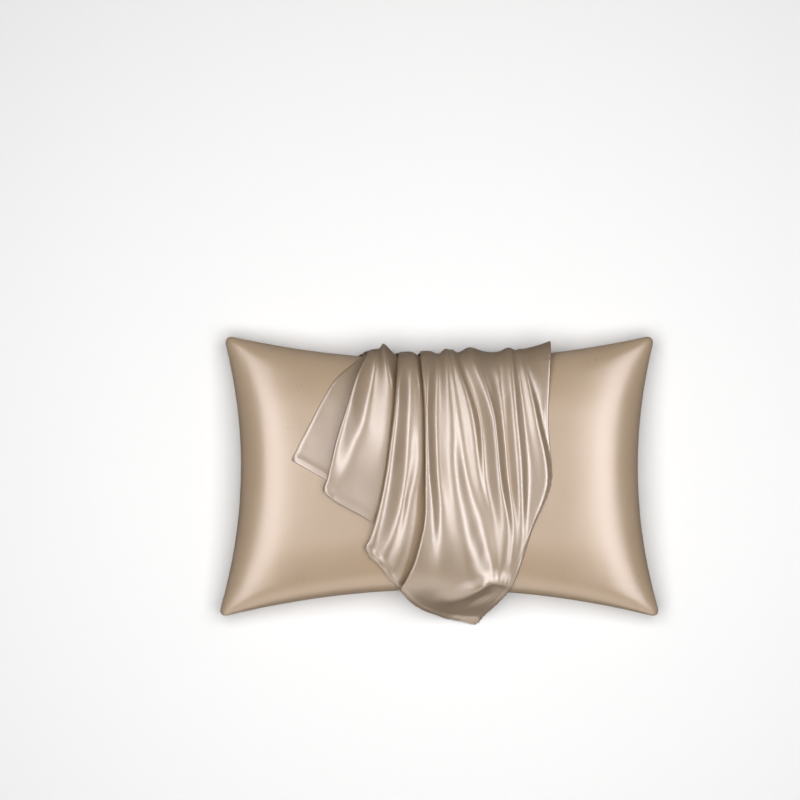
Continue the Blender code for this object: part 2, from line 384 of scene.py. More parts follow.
@dataclass(frozen=True)
class PillowForm:
    """The filled pillow's form about its own middle, corner to corner, as the solid has it.

    A place on it is a, from -1 at the left to 1 at the right, and b, from -1 in front to 1 at the
    back.
    """

    length: float = 0.754
    width: float = 0.488
    side_draw_in: float = 0.036
    back_draw_in: float = 0.043
    front_draw_in: float = 0.050
    front_flare: float = 0.013
    ear_radius: float = 0.018
    seam_height: float = 0.070
    ear_drop: float = 0.022
    crown: float = 0.085
    belly: float = 0.090
    side_power: float = 3.4
    edge_power: float = 2.6
    roundness: float = 0.45

    def half_length(self, b: np.ndarray) -> np.ndarray:
        """Half its length where it is crossed at b."""
        return self.length / 2 * (1 - self.front_flare * b) - self.side_draw_in * (1 - b * b)

    def half_width(self, a: np.ndarray, b: np.ndarray) -> np.ndarray:
        """Half its width where it is crossed at a, on the side of b."""
        back, front = self.back_draw_in, self.front_draw_in
        return self.width / 2 - ((back + front) / 2 + (back - front) / 2 * b) * (1 - a * a)

    def fullness(self, a: np.ndarray, b: np.ndarray) -> np.ndarray:
        """How full it is, from 0 at its seam to 1 in the middle."""
        from_seam = (1 - np.abs(a) ** self.side_power) * (1 - np.abs(b) ** self.edge_power)
        return np.clip(from_seam, 0, 1) ** self.roundness

    def seam_at(self, a: np.ndarray, b: np.ndarray) -> np.ndarray:
        """Height of the middle between crown and belly, which drops towards the ears."""
        return self.seam_height - self.ear_drop * (a * b) ** 2

    def round_ears(self, a: np.ndarray, b: np.ndarray) -> tuple[np.ndarray, np.ndarray]:
        """Pull the points at the corners in to quarter circles of the ear's radius.

        Args:
            a: place across.
            b: place along.

        Returns:
            The two places after it.
        """
        reach_a, reach_b = 2 * self.ear_radius / self.length, 2 * self.ear_radius / self.width
        p, q = (np.abs(a) - 1 + reach_a) / reach_a, (np.abs(b) - 1 + reach_b) / reach_b
        corner = (p > 0) & (q > 0)
        round_p = p * np.sqrt(np.clip(1 - q * q / 2, 0, 1))
        round_q = q * np.sqrt(np.clip(1 - p * p / 2, 0, 1))
        return (np.where(corner, np.sign(a) * (1 - reach_a + reach_a * round_p), a),
                np.where(corner, np.sign(b) * (1 - reach_b + reach_b * round_q), b))


@dataclass
class Pillow:
    """The filled pillow in its case: a closed form with puckers at its seam and soft swells."""

    form: PillowForm
    middle: Vector
    cells: tuple[int, int] = (250, 170)
    pucker_pitch: float = 6 * MM
    pucker_length: float = 0.060
    pucker_height: float = 0.35 * MM
    pucker_reach: float = 0.040
    coarse_pitch: float = 14.4 * MM
    coarse_length: float = 0.090
    coarse_share: float = 0.6
    long_share: float = 0.6         # how high the long sides' puckers are beside the others
    seam_band: float = 6 * MM       # how far from the seam the puckers reach their full height
    swell_height: float = 1.2 * MM
    swell_size: tuple[float, float] = (0.11, 0.13)
    swell_from: float = 0.05
    relief_from: float = 0.25       # how full the form is where the relief has its full height

    FINE, COARSE, BROAD = SoftNoise(3), SoftNoise(5), SoftNoise(8)

    def puckers(self, inward: np.ndarray, along: np.ndarray, from_seam: np.ndarray,
                shift: tuple[int, int, int]) -> np.ndarray:
        """Small gathers that run inwards from a seam.

        Args:
            inward: each place's coordinate across the seam.
            along: its coordinate along the seam.
            from_seam: its distance from the seam.
            shift: where in the noise the fine puckers and the coarse ones are read.

        Returns:
            How high they are, from -1 to 1 and a little more.
        """
        fine = self.FINE.read(inward / self.pucker_length + shift[0],
                              along / self.pucker_pitch + shift[1])
        coarse = self.COARSE.read(inward / self.coarse_length + shift[2],
                                  along / self.coarse_pitch)
        fade = np.exp(-from_seam / self.pucker_reach) * ease(from_seam / self.seam_band)
        return fade * (fine + self.coarse_share * coarse)

    def wrinkles(self, a: np.ndarray, b: np.ndarray) -> np.ndarray:
        """How far the cloth stands off its smooth form.

        Args:
            a: place across.
            b: place along.

        Returns:
            The height at each place, in metres.
        """
        x, y = a * self.form.length / 2, b * self.form.width / 2
        from_side = (1 - np.abs(a)) * self.form.length / 2
        from_edge = (1 - np.abs(b)) * self.form.width / 2
        at_side = self.puckers(x, y, from_side, (0, 7, 5))
        at_edge = self.puckers(y, x, from_edge, (11, 0, 3))
        broad = self.BROAD.read(x / self.swell_size[0] + 2, y / self.swell_size[1] + 9)
        middle = ease(from_side / self.swell_from) * ease(from_edge / self.swell_from)
        return (self.pucker_height * (at_side + self.long_share * at_edge)
                + self.swell_height * broad * middle)

    def build(self, finish: bpy.types.Material) -> bpy.types.Object:
        """Make the crown and the belly as one closed mesh.

        Args:
            finish: the satin.

        Returns:
            The pillow's cover.
        """
        cells_x, cells_y = self.cells
        grid_a = np.sin(np.pi / 2 * np.linspace(-1, 1, cells_x + 1))
        grid_b = np.sin(np.pi / 2 * np.linspace(-1, 1, cells_y + 1))
        b, a = np.meshgrid(grid_b, grid_a, indexing="ij")
        full = self.form.fullness(a, b)
        height = self.form.seam_at(a, b)
        round_a, round_b = self.form.round_ears(a, b)
        x = round_a * self.form.half_length(round_b)
        y = round_b * self.form.half_width(round_a, round_b)
        relief = self.wrinkles(a, b) * np.minimum(full / self.relief_from, 1)
        top = np.stack([x, y, height + self.form.crown * full + relief], -1)
        below = np.maximum(height - self.form.belly * full, 0)
        bottom = np.stack([x, y, below], -1)
        inner = np.zeros(a.shape, bool)
        inner[1:-1, 1:-1] = True
        index_top = np.arange(a.size).reshape(a.shape)
        index_bottom = index_top.copy()
        index_bottom[inner] = a.size + np.arange(inner.sum())
        points = np.concatenate([top.reshape(-1, 3), bottom[inner]]) + np.array(self.middle)
        faces = np.concatenate([
            grid_faces(index_top[:-1], index_top[1:]),
            grid_faces(index_bottom[:-1], index_bottom[1:], flip=True),
        ])
        flat = np.stack([a * self.form.length / 2, b * self.form.width / 2, 0 * a], -1)
        cloth_at = np.concatenate([flat.reshape(-1, 3), flat[inner] + (0, 1, 0)])
        return make_piece("pillow_cover", points, faces, finish, cloth_at)


# The draped case


class Turn(Enum):
    """The side at which the cloth turns over and runs back on itself."""

    NONE = 0
    LEFT = -1
    RIGHT = 1


class FoldLine(NamedTuple):
    """A line of the cloth from its tucked end to its long seam, in millimetres.

    Its X, and how far it stands off the layers under it, are given at each of the stations from
    the pillow's back edge to the long seam.
    """

    name: str
    x: tuple[float, ...]
    stand: tuple[float, ...]
    seam_y: float              # Y of its end at the long seam
    rank: float                # how many layers it lies on
    tucked: float              # how much of it hangs hidden behind the back edge
    spans: int                 # how many shares of the columns lie between it and the next line
    turn: Turn = Turn.NONE


FOLD_LINES = tuple(FoldLine(*row) for row in (
    ("flap edge", (-127, -178, -200, -219, -238, -251), (0, 0, 0, 0, 0, 0), 29, 0, 93, 4),
    ("flap turn", (-104, -128, -145, -158, -168, -176),
     (0, 0, 0, 0, 0, 0), -12, 0.5, 94, 3, Turn.RIGHT),
    ("first fold", (-121, -147, -162, -177, -188, -198),
     (0, 19, 18, 15, 10, 2), -23, 1.5, 97, 3, Turn.LEFT),
    ("first rim", (-117, -143, -157, -171, -182, -191), (2, 21, 19, 15, 9, 2), -29, 2, 97, 4),
    ("first hollow", (-102, -119, -127, -146, -162, -176), (4, -7, -7, -3, 2, 0), -40, 2, 97, 4),
    ("first crest", (-96, -81, -85, -91, -100, -114), (15, 9, 10, 9, 7, 0), -74, 1.7, 96, 3),
    ("first foot", (-76, -70, -75, -81, -90, -106), (1, 1, 1, 1, 1, 1), -89, 0, 94, 2),
    ("first turn", (-62, -61, -66, -72, -82, -98),
     (0, 0, 0, 0, 0, 0), -116, 0.5, 95, 3, Turn.RIGHT),
    ("second fold", (-70, -76, -84, -94, -110, -128),
     (0, 18, 18, 16, 12, 2), -122, 1.5, 94, 2, Turn.LEFT),
    ("second rim", (-64, -72, -78, -87, -103, -122), (1, 20, 19, 17, 13, 1), -131, 2, 93, 4),
    ("second hollow", (-50, -51, -53, -60, -78, -103), (2, 2, -4, -7, -6, -6), -150, 2, 92, 3),
    ("second crest", (-42, -31, -32, -50, -64, -86), (4, 12, 13, 11, 7, 2), -173, 0.6, 89, 3),
    ("second foot", (-35, -19, -18, -22, -36, -68), (1, 1, 1, 1, 1, 1), -190, 0, 87, 2),
    ("second turn", (-20, -10, -9, -13, -28, -60),
     (0, 0, 0, 0, 0, 0), -194, 0.5, 86, 3, Turn.RIGHT),
    ("third fold", (-33, -26, -25, -25, -41, -71),
     (3, 16, 17, 16, 11, 2), -191, 1.5, 84, 2, Turn.LEFT),
    ("third rim", (-17, -21, -18, -13, -22, -56), (4, 18, 18, 15, 8, 1), -211, 2, 80, 4),
    ("third hollow", (0, -6, -3, 3, 2, -38), (4, 2, 2, 9, 12, 6), -224, 0, 74, 3),
    ("broad ridge", (10, 20, 24, 40, 64, 0), (15, 19, 22, 24, 17, 4), -242, 0, 66, 3),
    ("pool", (17, 35, 47, 70, 88, 12), (11, 8, 0, 0, 7, 3), -245, 0, 62, 3),
    ("fourth fold", (22, 58, 67, 88, 95, 18), (13, 23, 11, 3, 6, 3), -246, 0, 58, 3),
    ("fourth hollow", (31, 68, 77, 95, 99, 23), (5, 1, 2, 4, 5, 3), -247, 0, 52, 4),
    ("fifth fold", (52, 90, 99, 108, 103, 28), (17, 21, 20, 10, 5, 3), -249, 0, 46, 3),
    ("sixth fold", (71, 95, 104, 117, 107, 33), (8, 21, 20, 11, 4, 3), -250, 0, 38, 3),
    ("sixth hollow", (98, 108, 116, 126, 110, 38), (4, 1, 1, 5, 4, 3), -251, 0, 33, 4),
    ("seventh ridge", (120, 130, 137, 139, 113, 43), (13, 22, 22, 10, 3, 3), -252, 0, 24, 3),
    ("seventh hollow", (130, 144, 151, 147, 116, 48), (5, 1, 3, 6, 3, 3), -253, 0, 21, 3),
    ("last fold", (138, 166, 184, 152, 120, 55), (9, 16, 14, 5, 3, 3), -255, 0, 16, 2),
    ("band crease", (143, 171, 187, 154, 121, 59), (6, 2, 3, 4, 3, 2), -255, 0, 14, 3),
    ("open end", (190, 184, 190, 156, 123, 63), (14, 1, 0.5, 0, 0, 0), -256, 0, 10, 0),
))
STATIONS = (0.0, 0.25, 0.45, 0.65, 0.85, 1.0)   # where along a line its X and stand are given


class Crease(NamedTuple):
    """A soft ridge or trough in the top layer, in millimetres about the pillow's middle."""

    name: str
    path: tuple[tuple[float, float], ...]
    height: float              # below 0 it is a trough
    width: float


CREASES = (
    Crease("tip ridge", ((122, -182), (92, -173), (60, -187), (30, -203), (2, -212)), 12.0, 9),
    Crease("tip shade", ((92, -198), (56, -214), (14, -230)), -6.0, 8),
    Crease("thin crease", ((72, 186), (84, 150), (96, 110), (103, 80)), -1.5, 3),
)


@dataclass(frozen=True)
class Lay:
    """How the cloth lies on the pillow and on the floor, as the solid has it."""

    cloth: float = 1.6 * MM
    layer: float = 4.6 * MM
    tucked_layer: float = 2.7 * MM
    rest_gap: float = 0.6 * MM
    edge_gap: float = 2.2 * MM
    floor_gap: float = 0.3 * MM
    tucked_run: float = 0.030
    tucked_bend: float = 0.018
    tucked_fan: float = 27.0
    tucked_middle: float = 0.030
    leaves_pillow: float = -68.0
    front_fall: float = 0.075
    front_foot: float = 0.030
    front_reach: float = 0.065


class RestField:
    """The lines that the cloth rests along, read at any X and distance from the back edge."""

    LINES = 60
    STEP = 1.0 * MM
    MARGIN = 60 * MM
    PROFILE_POINTS = 160
    BEND_POINTS = 40
    GAP_POWER = 4

    def __init__(self, form: PillowForm, lay: Lay) -> None:
        """Work out the rest lines over a pillow.

        Args:
            form: the pillow's form.
            lay: how the cloth lies on it.
        """
        self.form = form
        self.lay = lay
        places = [MM * x for line in FOLD_LINES for x in line.x]
        self.x = np.linspace(min(places) - self.MARGIN, max(places) + self.MARGIN, self.LINES)
        lines = [self.rest_line(x) for x in self.x]
        first = max(length[0] for _, length in lines)
        last = min(length[-1] for _, length in lines)
        self.s = np.arange(first, last, self.STEP)
        self.table = np.array([[np.interp(self.s, length, points[:, k]) for k in (0, 1)]
                               for points, length in lines])
        self.slope = np.gradient(self.table, self.STEP, axis=2)

    def over_pillow(self, x: float) -> np.ndarray:
        """The cloth's middle where it lies on the pillow.

        Args:
            x: where the pillow is crossed.

        Returns:
            Its points in Y and Z, from the pillow's back edge on.
        """
        b = np.sin(np.radians(np.linspace(90, self.lay.leaves_pillow, self.PROFILE_POINTS)))
        a = x / self.form.half_length(b)
        height = self.form.seam_at(a, b) + self.form.crown * self.form.fullness(a, b)
        skin = np.stack([b * self.form.half_width(a, b), height], 1)
        along = np.gradient(skin, axis=0)
        outward = unit(np.stack([along[:, 1], -along[:, 0]], 1))
        gap = self.lay.rest_gap + (self.lay.edge_gap - self.lay.rest_gap) * b ** self.GAP_POWER
        return skin + (self.lay.cloth / 2 + gap)[:, None] * outward

    def behind_pillow(self, back: np.ndarray) -> np.ndarray:
        """The cloth's middle where it hangs behind the pillow and is tucked in.

        Args:
            back: where it comes over the back edge, in Y and Z.

        Returns:
            Its points in Y and Z, up to the back edge.
        """
        lay = self.lay
        turn = np.radians(np.linspace(-90, 0, self.BEND_POINTS))
        height = lay.cloth / 2 + lay.floor_gap + 2 * lay.tucked_layer + lay.tucked_bend
        bend = (back[0] - lay.tucked_bend, height)
        bend = bend + lay.tucked_bend * np.stack([np.cos(turn), np.sin(turn)], 1)
        return np.vstack([bend[0] - (lay.tucked_run, 0), bend])

    def down_in_front(self, over: np.ndarray, x: float) -> np.ndarray:
        """The cloth's middle where it falls from the pillow's front and runs out on the floor.

        Args:
            over: its points on the pillow.
            x: where the pillow is crossed.

        Returns:
            Its points in Y and Z, from the last one on the pillow on.
        """
        lay = self.lay
        start, heading = over[-1], over[-1] - over[-2]
        front = self.form.half_width(x / self.form.half_length(-1.0), -1.0)
        end = np.array([-front - lay.front_reach, lay.cloth / 2 + lay.floor_gap])
        falls_to = start + lay.front_fall * heading / np.linalg.norm(heading)
        comes_from = end + (lay.front_foot, 0)
        t = np.linspace(0, 1, self.BEND_POINTS)[1:, None]
        return ((1 - t) ** 3 * start + 3 * (1 - t) ** 2 * t * falls_to
                + 3 * (1 - t) * t ** 2 * comes_from + t ** 3 * end)

    def rest_line(self, x: float) -> tuple[np.ndarray, np.ndarray]:
        """The whole line that the cloth rests along.

        Args:
            x: where the pillow is crossed.

        Returns:
            Its points in Y and Z, and how far in front of the back edge each of them is.
        """
        over = self.over_pillow(x)
        behind = self.behind_pillow(over[0])
        points = np.vstack([behind, over, self.down_in_front(over, x)])
        length = length_along(points)
        return points, length - length[len(behind)]

    def read(self, values: np.ndarray, x: np.ndarray, s: np.ndarray) -> np.ndarray:
        """A value of the field, between its four neighbours.

        Args:
            values: the value at each line and step.
            x: the places' X.
            s: their distance from the back edge.

        Returns:
            The value at each place.
        """
        i = (x - self.x[0]) / (self.x[1] - self.x[0])
        j = (s - self.s[0]) / self.STEP
        i0 = np.clip(i.astype(int), 0, len(self.x) - 2)
        j0 = np.clip(j.astype(int), 0, len(self.s) - 2)
        i, j = i - i0, j - j0
        near = values[i0, j0] * (1 - j) + values[i0, j0 + 1] * j
        far = values[i0 + 1, j0] * (1 - j) + values[i0 + 1, j0 + 1] * j
        return near * (1 - i) + far * i

    def place(self, x: np.ndarray, s: np.ndarray, lift: np.ndarray) -> np.ndarray:
        """Points that stand above the rest lines.

        Args:
            x: their X.
            s: their distance from the back edge.
            lift: how far they stand off.

        Returns:
            The points, about the pillow's middle.
        """
        y, z = (self.read(self.table[:, k], x, s) for k in (0, 1))
        along_y, along_z = (self.read(self.slope[:, k], x, s) for k in (0, 1))
        size = np.hypot(along_y, along_z)
        return np.stack([x, y + lift * along_z / size, z - lift * along_y / size], -1)

    def distance(self, x: float, y: float, lift: float) -> float:
        """How far in front of the back edge a point lies.

        Args:
            x: its X.
            y: its Y.
            lift: how far it stands off the rest line.

        Returns:
            The distance along the rest line.
        """
        s = self.s[self.s >= 0]
        at = self.place(np.full_like(s, x), s, np.full_like(s, lift))
        return float(np.interp(-y, -at[:, 1], s))


@dataclass
class DrapedCase:
    """The empty case: its two plies as one folded sheet, with its seams and its hem."""

    rest: RestField
    middle: Vector
    tucked_rows: int = 30
    rows: int = 165
    seam_rows: int = 10             # rows that lie closer together, at the long seam
    seam_run: float = 1.6           # how many of the other rows' spacings they fill
    turn_spans: int = 3
    span_columns: float = 2.45
    fullness: float = 1.15          # makes up for the height that the rounding takes
    ply: float = 1.5 * MM
    seam_ply: float = 2.8 * MM
    seam_width: float = 5.0 * MM
    seam_slope: float = 2.0 * MM    # over how much of its width the seam thins out
    hem_ply: float = 0.6 * MM       # how much thicker the hem is
    hem_width: float = 9.0 * MM
    hem_slope: float = 1.0 * MM
    stitches_at: float = 8.0 * MM
    ripple_height: float = 0.5 * MM
    fine_ripple: tuple[float, float] = (0.016, 0.075)
    broad_ripple: tuple[float, float] = (0.035, 0.05)
    ripples_from: float = 0.05
    pucker_pitch: float = 8.0 * MM
    pucker_drift: float = 0.03
    pucker_height: float = 0.9 * MM
    seam_pucker: tuple[float, float] = (11 * MM, 0.6 * MM)
    seam_pucker_reach: float = 14 * MM
    small_pucker: tuple[float, float] = (2.3, 0.6)      # how much finer and lower they are
    roll_at: float = 8 * MM
    roll_width: float = 6 * MM
    roll_height: float = 2.0 * MM
    rim: float = 0.45               # how far its edges stand out, as a share of its thickness
    flat: tuple[float, float] = (0.76, 0.51)
    column_of: dict[str, int] = field(default_factory=dict)
    hem_top: np.ndarray | None = None
    hem_normal: np.ndarray | None = None

    SETTLING_STEPS = 4
    ROUNDING_TIMES = 12
    ROUNDING = 0.25
    AT_TURN = 0.2                   # the share of the rounding where the cloth turns over
    AT_LEFT = 0.58                  # its share on the folds at the left
    CREASE_POINTS = 40
    CREASE_TAPER = 0.6              # the lower, the blunter a crease ends

    def row_places(self) -> np.ndarray:
        """Where the rows lie.

        Returns:
            Their places, -1 to 0 tucked in and 0 to 1 in sight, closer at the long seam.
        """
        tucked = np.linspace(-1, 0, self.tucked_rows, endpoint=False)
        sight = np.linspace(0, 1, self.rows - self.seam_rows)
        near_seam = 1 - np.linspace(0, self.seam_run * (1 - sight[-2]), self.seam_rows + 2)[::-1]
        return np.concatenate([tucked, sight[sight < near_seam[0]], near_seam])

    def line_points(self, line: FoldLine, places: np.ndarray) -> tuple[np.ndarray, np.ndarray]:
        """Where a fold line crosses each row.

        Args:
            line: the fold line.
            places: where the rows lie, from -1 to 1.

        Returns:
            Its points as X, distance from the back edge and lift, and how high a layer is at each.
        """
        lay = self.rest.lay
        at = MM * np.array(line.x)
        end = self.rest.distance(at[-1], MM * line.seam_y,
                                 MM * line.stand[-1] + line.rank * lay.layer)
        s = np.where(places < 0, MM * line.tucked * places, end * places)
        x = np.full_like(s, at[0])
        back_y = self.rest.read(self.rest.table[:, 0], x, np.zeros_like(s))
        for _ in range(self.SETTLING_STEPS):
            y = self.rest.read(self.rest.table[:, 0], x, s)
            share = np.clip((back_y - y) / (back_y - MM * line.seam_y), 0, 1)
            share = np.where(s < 0, 0, share)
            x = smooth_through(STATIONS, at, share)
            x += (at[0] - lay.tucked_middle) * lay.tucked_fan * np.minimum(s, 0) ** 2
        stand = self.fullness * smooth_through(STATIONS, MM * np.array(line.stand), share)
        height = self.rest.form.seam_height
        in_sight = np.clip(1 + s / height, 0, 1)
        layer = np.interp(s, (-height, height), (lay.tucked_layer, lay.layer))
        return np.stack([x, s, line.rank * layer + stand * in_sight], 1), layer

    def sections(self) -> np.ndarray:
        """Sections across the cloth's middle, through all the fold lines.

        Returns:
            A row of points for each, as X, distance from the back edge and lift.
        """
        lines, spans, turned = [], [], []
        places = self.row_places()
        for line in FOLD_LINES:
            points, layer = self.line_points(line, places)
            columns = round(self.span_columns * line.spans)
            if line.turn is not Turn.NONE:
                half = layer / 2
                back = np.stack([-line.turn.value * half, 0 * half, half], 1)
                lines += [points + back * (1, 1, -1), points, points + back]
                spans += [self.turn_spans, self.turn_spans, columns]
                turned.append(sum(spans[:-2]))
            else:
                lines.append(points)
                spans.append(columns)
            self.column_of[line.name] = sum(spans[:-1])
        stack = np.array(lines)
        softness = self.softness(sum(spans[:-1]) + 1, turned)
        return np.array([self.section(stack[:, row], spans[:-1], softness)
                         for row in range(len(places))])

    def softness(self, columns: int, turned: Sequence[int]) -> np.ndarray:
        """How much each column is rounded: less where the cloth turns over and at the left.

        Args:
            columns: how many columns there are.
            turned: the columns at which the cloth turns over.

        Returns:
            The share of the rounding that each column takes.
        """
        gap = np.abs(np.arange(columns)[:, None] - np.array(turned)).min(axis=1)
        away = ease((gap - self.turn_spans) / self.turn_spans)
        fuller = np.interp(np.arange(columns), (turned[-1], self.column_of["broad ridge"]),
                           (self.AT_LEFT, 1))
        return self.ROUNDING * fuller * (self.AT_TURN + (1 - self.AT_TURN) * away)

    def section(self, points: np.ndarray, spans: Sequence[int],
                softness: np.ndarray) -> np.ndarray:
        """One section through the fold lines, rounded at each of them.

        Args:
            points: the fold lines' points in this section, as X, distance and lift.
            spans: how many columns lie between each line and the next.
            softness: how much each column is rounded.

        Returns:
            The section's points, one for each column.
        """
        knots = length_along(points[:, [0, 2]])
        at = np.concatenate([np.linspace(knots[i], knots[i + 1], spans[i], endpoint=False)
                             for i in range(len(spans))] + [[knots[-1]]])
        line = np.stack([np.interp(at, knots, points[:, k]) for k in range(3)], 1)
        for _ in range(self.ROUNDING_TIMES):
            line[1:-1] += softness[1:-1, None] * (line[2:] - 2 * line[1:-1] + line[:-2])
        return line

    def crease_lift(self, points: np.ndarray) -> np.ndarray:
        """How much the creases raise or lower the top layer.

        Args:
            points: the cloth's middle without them.

        Returns:
            The lift at each point.
        """
        lift = np.zeros(points.shape[:2])
        for crease in CREASES:
            path = MM * np.array(crease.path)
            knots = length_along(path)
            at = np.linspace(0, knots[-1], self.CREASE_POINTS)
            line = np.stack([smooth_through(knots, path[:, k], at) for k in (0, 1)], 1)
            gap = np.linalg.norm(points[:, :, None, :2] - line, axis=-1)
            nearest = gap.argmin(axis=-1)
            taper = np.sin(np.pi * (nearest + 1) / (len(line) + 1)) ** self.CREASE_TAPER
            swell = np.exp(-(gap.min(axis=-1) / (MM * crease.width)) ** 2)
            lift += MM * crease.height * taper * swell
        lift[:, :self.column_of["third rim"]] = 0
        return lift

    def relax(self, points: np.ndarray) -> np.ndarray:
        """Even out the sheet, its edges along themselves only.

        Args:
            points: the sheet, as rows of points.

        Returns:
            The same sheet, a little smoother along and across.
        """
        even = points.copy()
        even[1:-1] += self.ROUNDING * (points[2:] - 2 * points[1:-1] + points[:-2])
        points = even.copy()
        points[:, 1:-1] += self.ROUNDING * (even[:, 2:] - 2 * even[:, 1:-1] + even[:, :-2])
        return points

    def middle_surface(self) -> np.ndarray:
        """Fold, crease and ripple the cloth.

        Returns:
            The middle of the whole sheet, as rows of points about the pillow's middle.
        """
        sections = self.sections()
        x, s, lift = (sections[..., k] for k in range(3))
        points = self.rest.place(x, s, lift)
        fine = SoftNoise(21).read(x / self.fine_ripple[0] + 9, s / self.fine_ripple[1])
        broad = SoftNoise(22).read(x / self.broad_ripple[0], s / self.broad_ripple[1] + 4)
        ripples = ease(s / self.ripples_from) * self.ripple_height * np.abs(fine + broad)
        lift = lift + self.crease_lift(points) + ripples
        return self.relax(self.rest.place(x, s, lift))

    def build(self, finish: bpy.types.Material) -> bpy.types.Object:
        """Make the sheet as one closed mesh, thicker where it is sewn and puckered at its mouth.

        Args:
            finish: the satin.

        Returns:
            The cloth.
        """
        middle = self.middle_surface()
        normal = self.normals(middle)
        to_seam, to_flap, to_mouth = self.edge_distances(middle)
        sewn = np.minimum(to_seam, to_flap)
        thin = ease((sewn - self.seam_width + self.seam_slope) / self.seam_slope)
        thick = self.ply + (self.seam_ply - self.ply) * (1 - thin)
        thick += self.hem_ply * (1 - ease((to_mouth - self.hem_width) / self.hem_slope))
        middle = middle + self.puckers(middle, to_seam, to_mouth)[..., None] * normal
        top = middle + normal * (thick / 2)[..., None]
        bottom = middle - normal * (thick / 2)[..., None]
        self.hem_top = self.beside_mouth(top, to_mouth)
        self.hem_normal = self.beside_mouth(normal, to_mouth)
        return self.closed_sheet(middle, top, bottom, thick, finish)

    @staticmethod
    def normals(middle: np.ndarray) -> np.ndarray:
        """The way that the sheet's outer face looks at each point."""
        return unit(np.cross(np.gradient(middle, axis=0), np.gradient(middle, axis=1)))

    def puckers(self, middle: np.ndarray, to_seam: np.ndarray, to_mouth: np.ndarray) -> np.ndarray:
        """How far the cloth is gathered up by the stitches of its hem and of its long seam.

        Args:
            middle: the middle of the sheet, as rows of points.
            to_seam: how far each point lies from the long seam.
            to_mouth: how far each point lies from the open end.

        Returns:
            The height at each point, in metres, with the roll beside the long seam.
        """
        down, along = length_along(middle[:, -1])[:, None], length_along(middle[-1])[None]
        waves = SoftNoise(31)
        drift = waves.read(down / self.pucker_drift, 0 * down)
        at_mouth = np.sin(2 * np.pi * (down / self.pucker_pitch + drift))
        at_mouth = at_mouth * np.exp(-to_mouth / self.hem_width)
        pitch, height = self.seam_pucker
        finer, share = self.small_pucker
        at_seam = (waves.read(along / pitch, 0 * along + 5)
                   + share * waves.read(finer * along / pitch, 0 * along + 9))
        at_seam = at_seam * np.exp(-to_seam / self.seam_pucker_reach)
        roll = np.exp(-((to_seam - self.roll_at) / self.roll_width) ** 2)
        return self.pucker_height * at_mouth + height * at_seam + self.roll_height * roll

    def beside_mouth(self, values: np.ndarray, to_mouth: np.ndarray) -> np.ndarray:
        """The sheet's values where the stitches beside its open end cross each row in sight."""
        rows = zip(values[self.tucked_rows:], to_mouth[self.tucked_rows:])
        return np.array([[np.interp(self.stitches_at, gap[::-1], row[::-1, k]) for k in range(3)]
                         for row, gap in rows])

    @staticmethod
    def edge_distances(middle: np.ndarray) -> tuple[np.ndarray, np.ndarray, np.ndarray]:
        """How far each point lies from the sheet's edges.

        Args:
            middle: the middle of the sheet, as rows of points.

        Returns:
            The distances from the long seam, the flap's closed end and the open end.
        """
        down = np.linalg.norm(np.diff(middle, axis=0), axis=-1)
        across = np.linalg.norm(np.diff(middle, axis=1), axis=-1)
        to_seam = np.vstack([np.cumsum(down[::-1], axis=0)[::-1], 0 * down[:1]])
        from_flap = np.hstack([0 * across[:, :1], np.cumsum(across, axis=1)])
        to_mouth = from_flap[:, -1:] - from_flap
        return to_seam, from_flap, to_mouth

    def closed_sheet(self, middle: np.ndarray, top: np.ndarray, bottom: np.ndarray,
                     thick: np.ndarray, finish: bpy.types.Material) -> bpy.types.Object:
        """Join the two faces of the sheet by rounded edges.

        Args:
            middle: the middle of the sheet, as rows of points.
            top: its outer face.
            bottom: its inner face.
            thick: its thickness at each point.
            finish: its material.

        Returns:
            The closed piece.
        """
        rows, columns = middle.shape[:2]
        index = np.arange(rows * columns).reshape(rows, columns)
        ring = np.concatenate([index[0], index[1:, -1], index[-1, -2::-1], index[-2:0:-1, 0]])
        inward = np.concatenate([index[1], index[1:, -2], index[-2, -2::-1], index[-2:0:-1, 1]])
        flat = middle.reshape(-1, 3)
        out = unit(flat[ring] - flat[inward])
        rim = flat[ring] + out * (thick.reshape(-1)[ring] * self.rim)[:, None]
        count = rows * columns
        low = index + count
        rim_index = 2 * count + np.arange(len(ring))
        points = np.concatenate([top.reshape(-1, 3), bottom.reshape(-1, 3), rim])
        upper = np.append(ring, ring[0])
        lower = upper + count
        edge = np.append(rim_index, rim_index[0])
        faces = np.concatenate([
            grid_faces(index[:-1], index[1:], flip=True),
            grid_faces(low[:-1], low[1:]),
            grid_faces(upper[None], edge[None]),
            grid_faces(edge[None], lower[None]),
        ])
        width, length = self.flat
        v, u = np.meshgrid(np.linspace(0, length, rows), np.linspace(0, width, columns),
                           indexing="ij")
        at = np.stack([u, v, 0 * u], -1).reshape(-1, 3)
        cloth_at = np.concatenate([at, at + (0, 1, 0), at[ring]])
        points = points + np.array(self.middle)
        return make_piece("case_cloth", points, faces, finish, cloth_at)


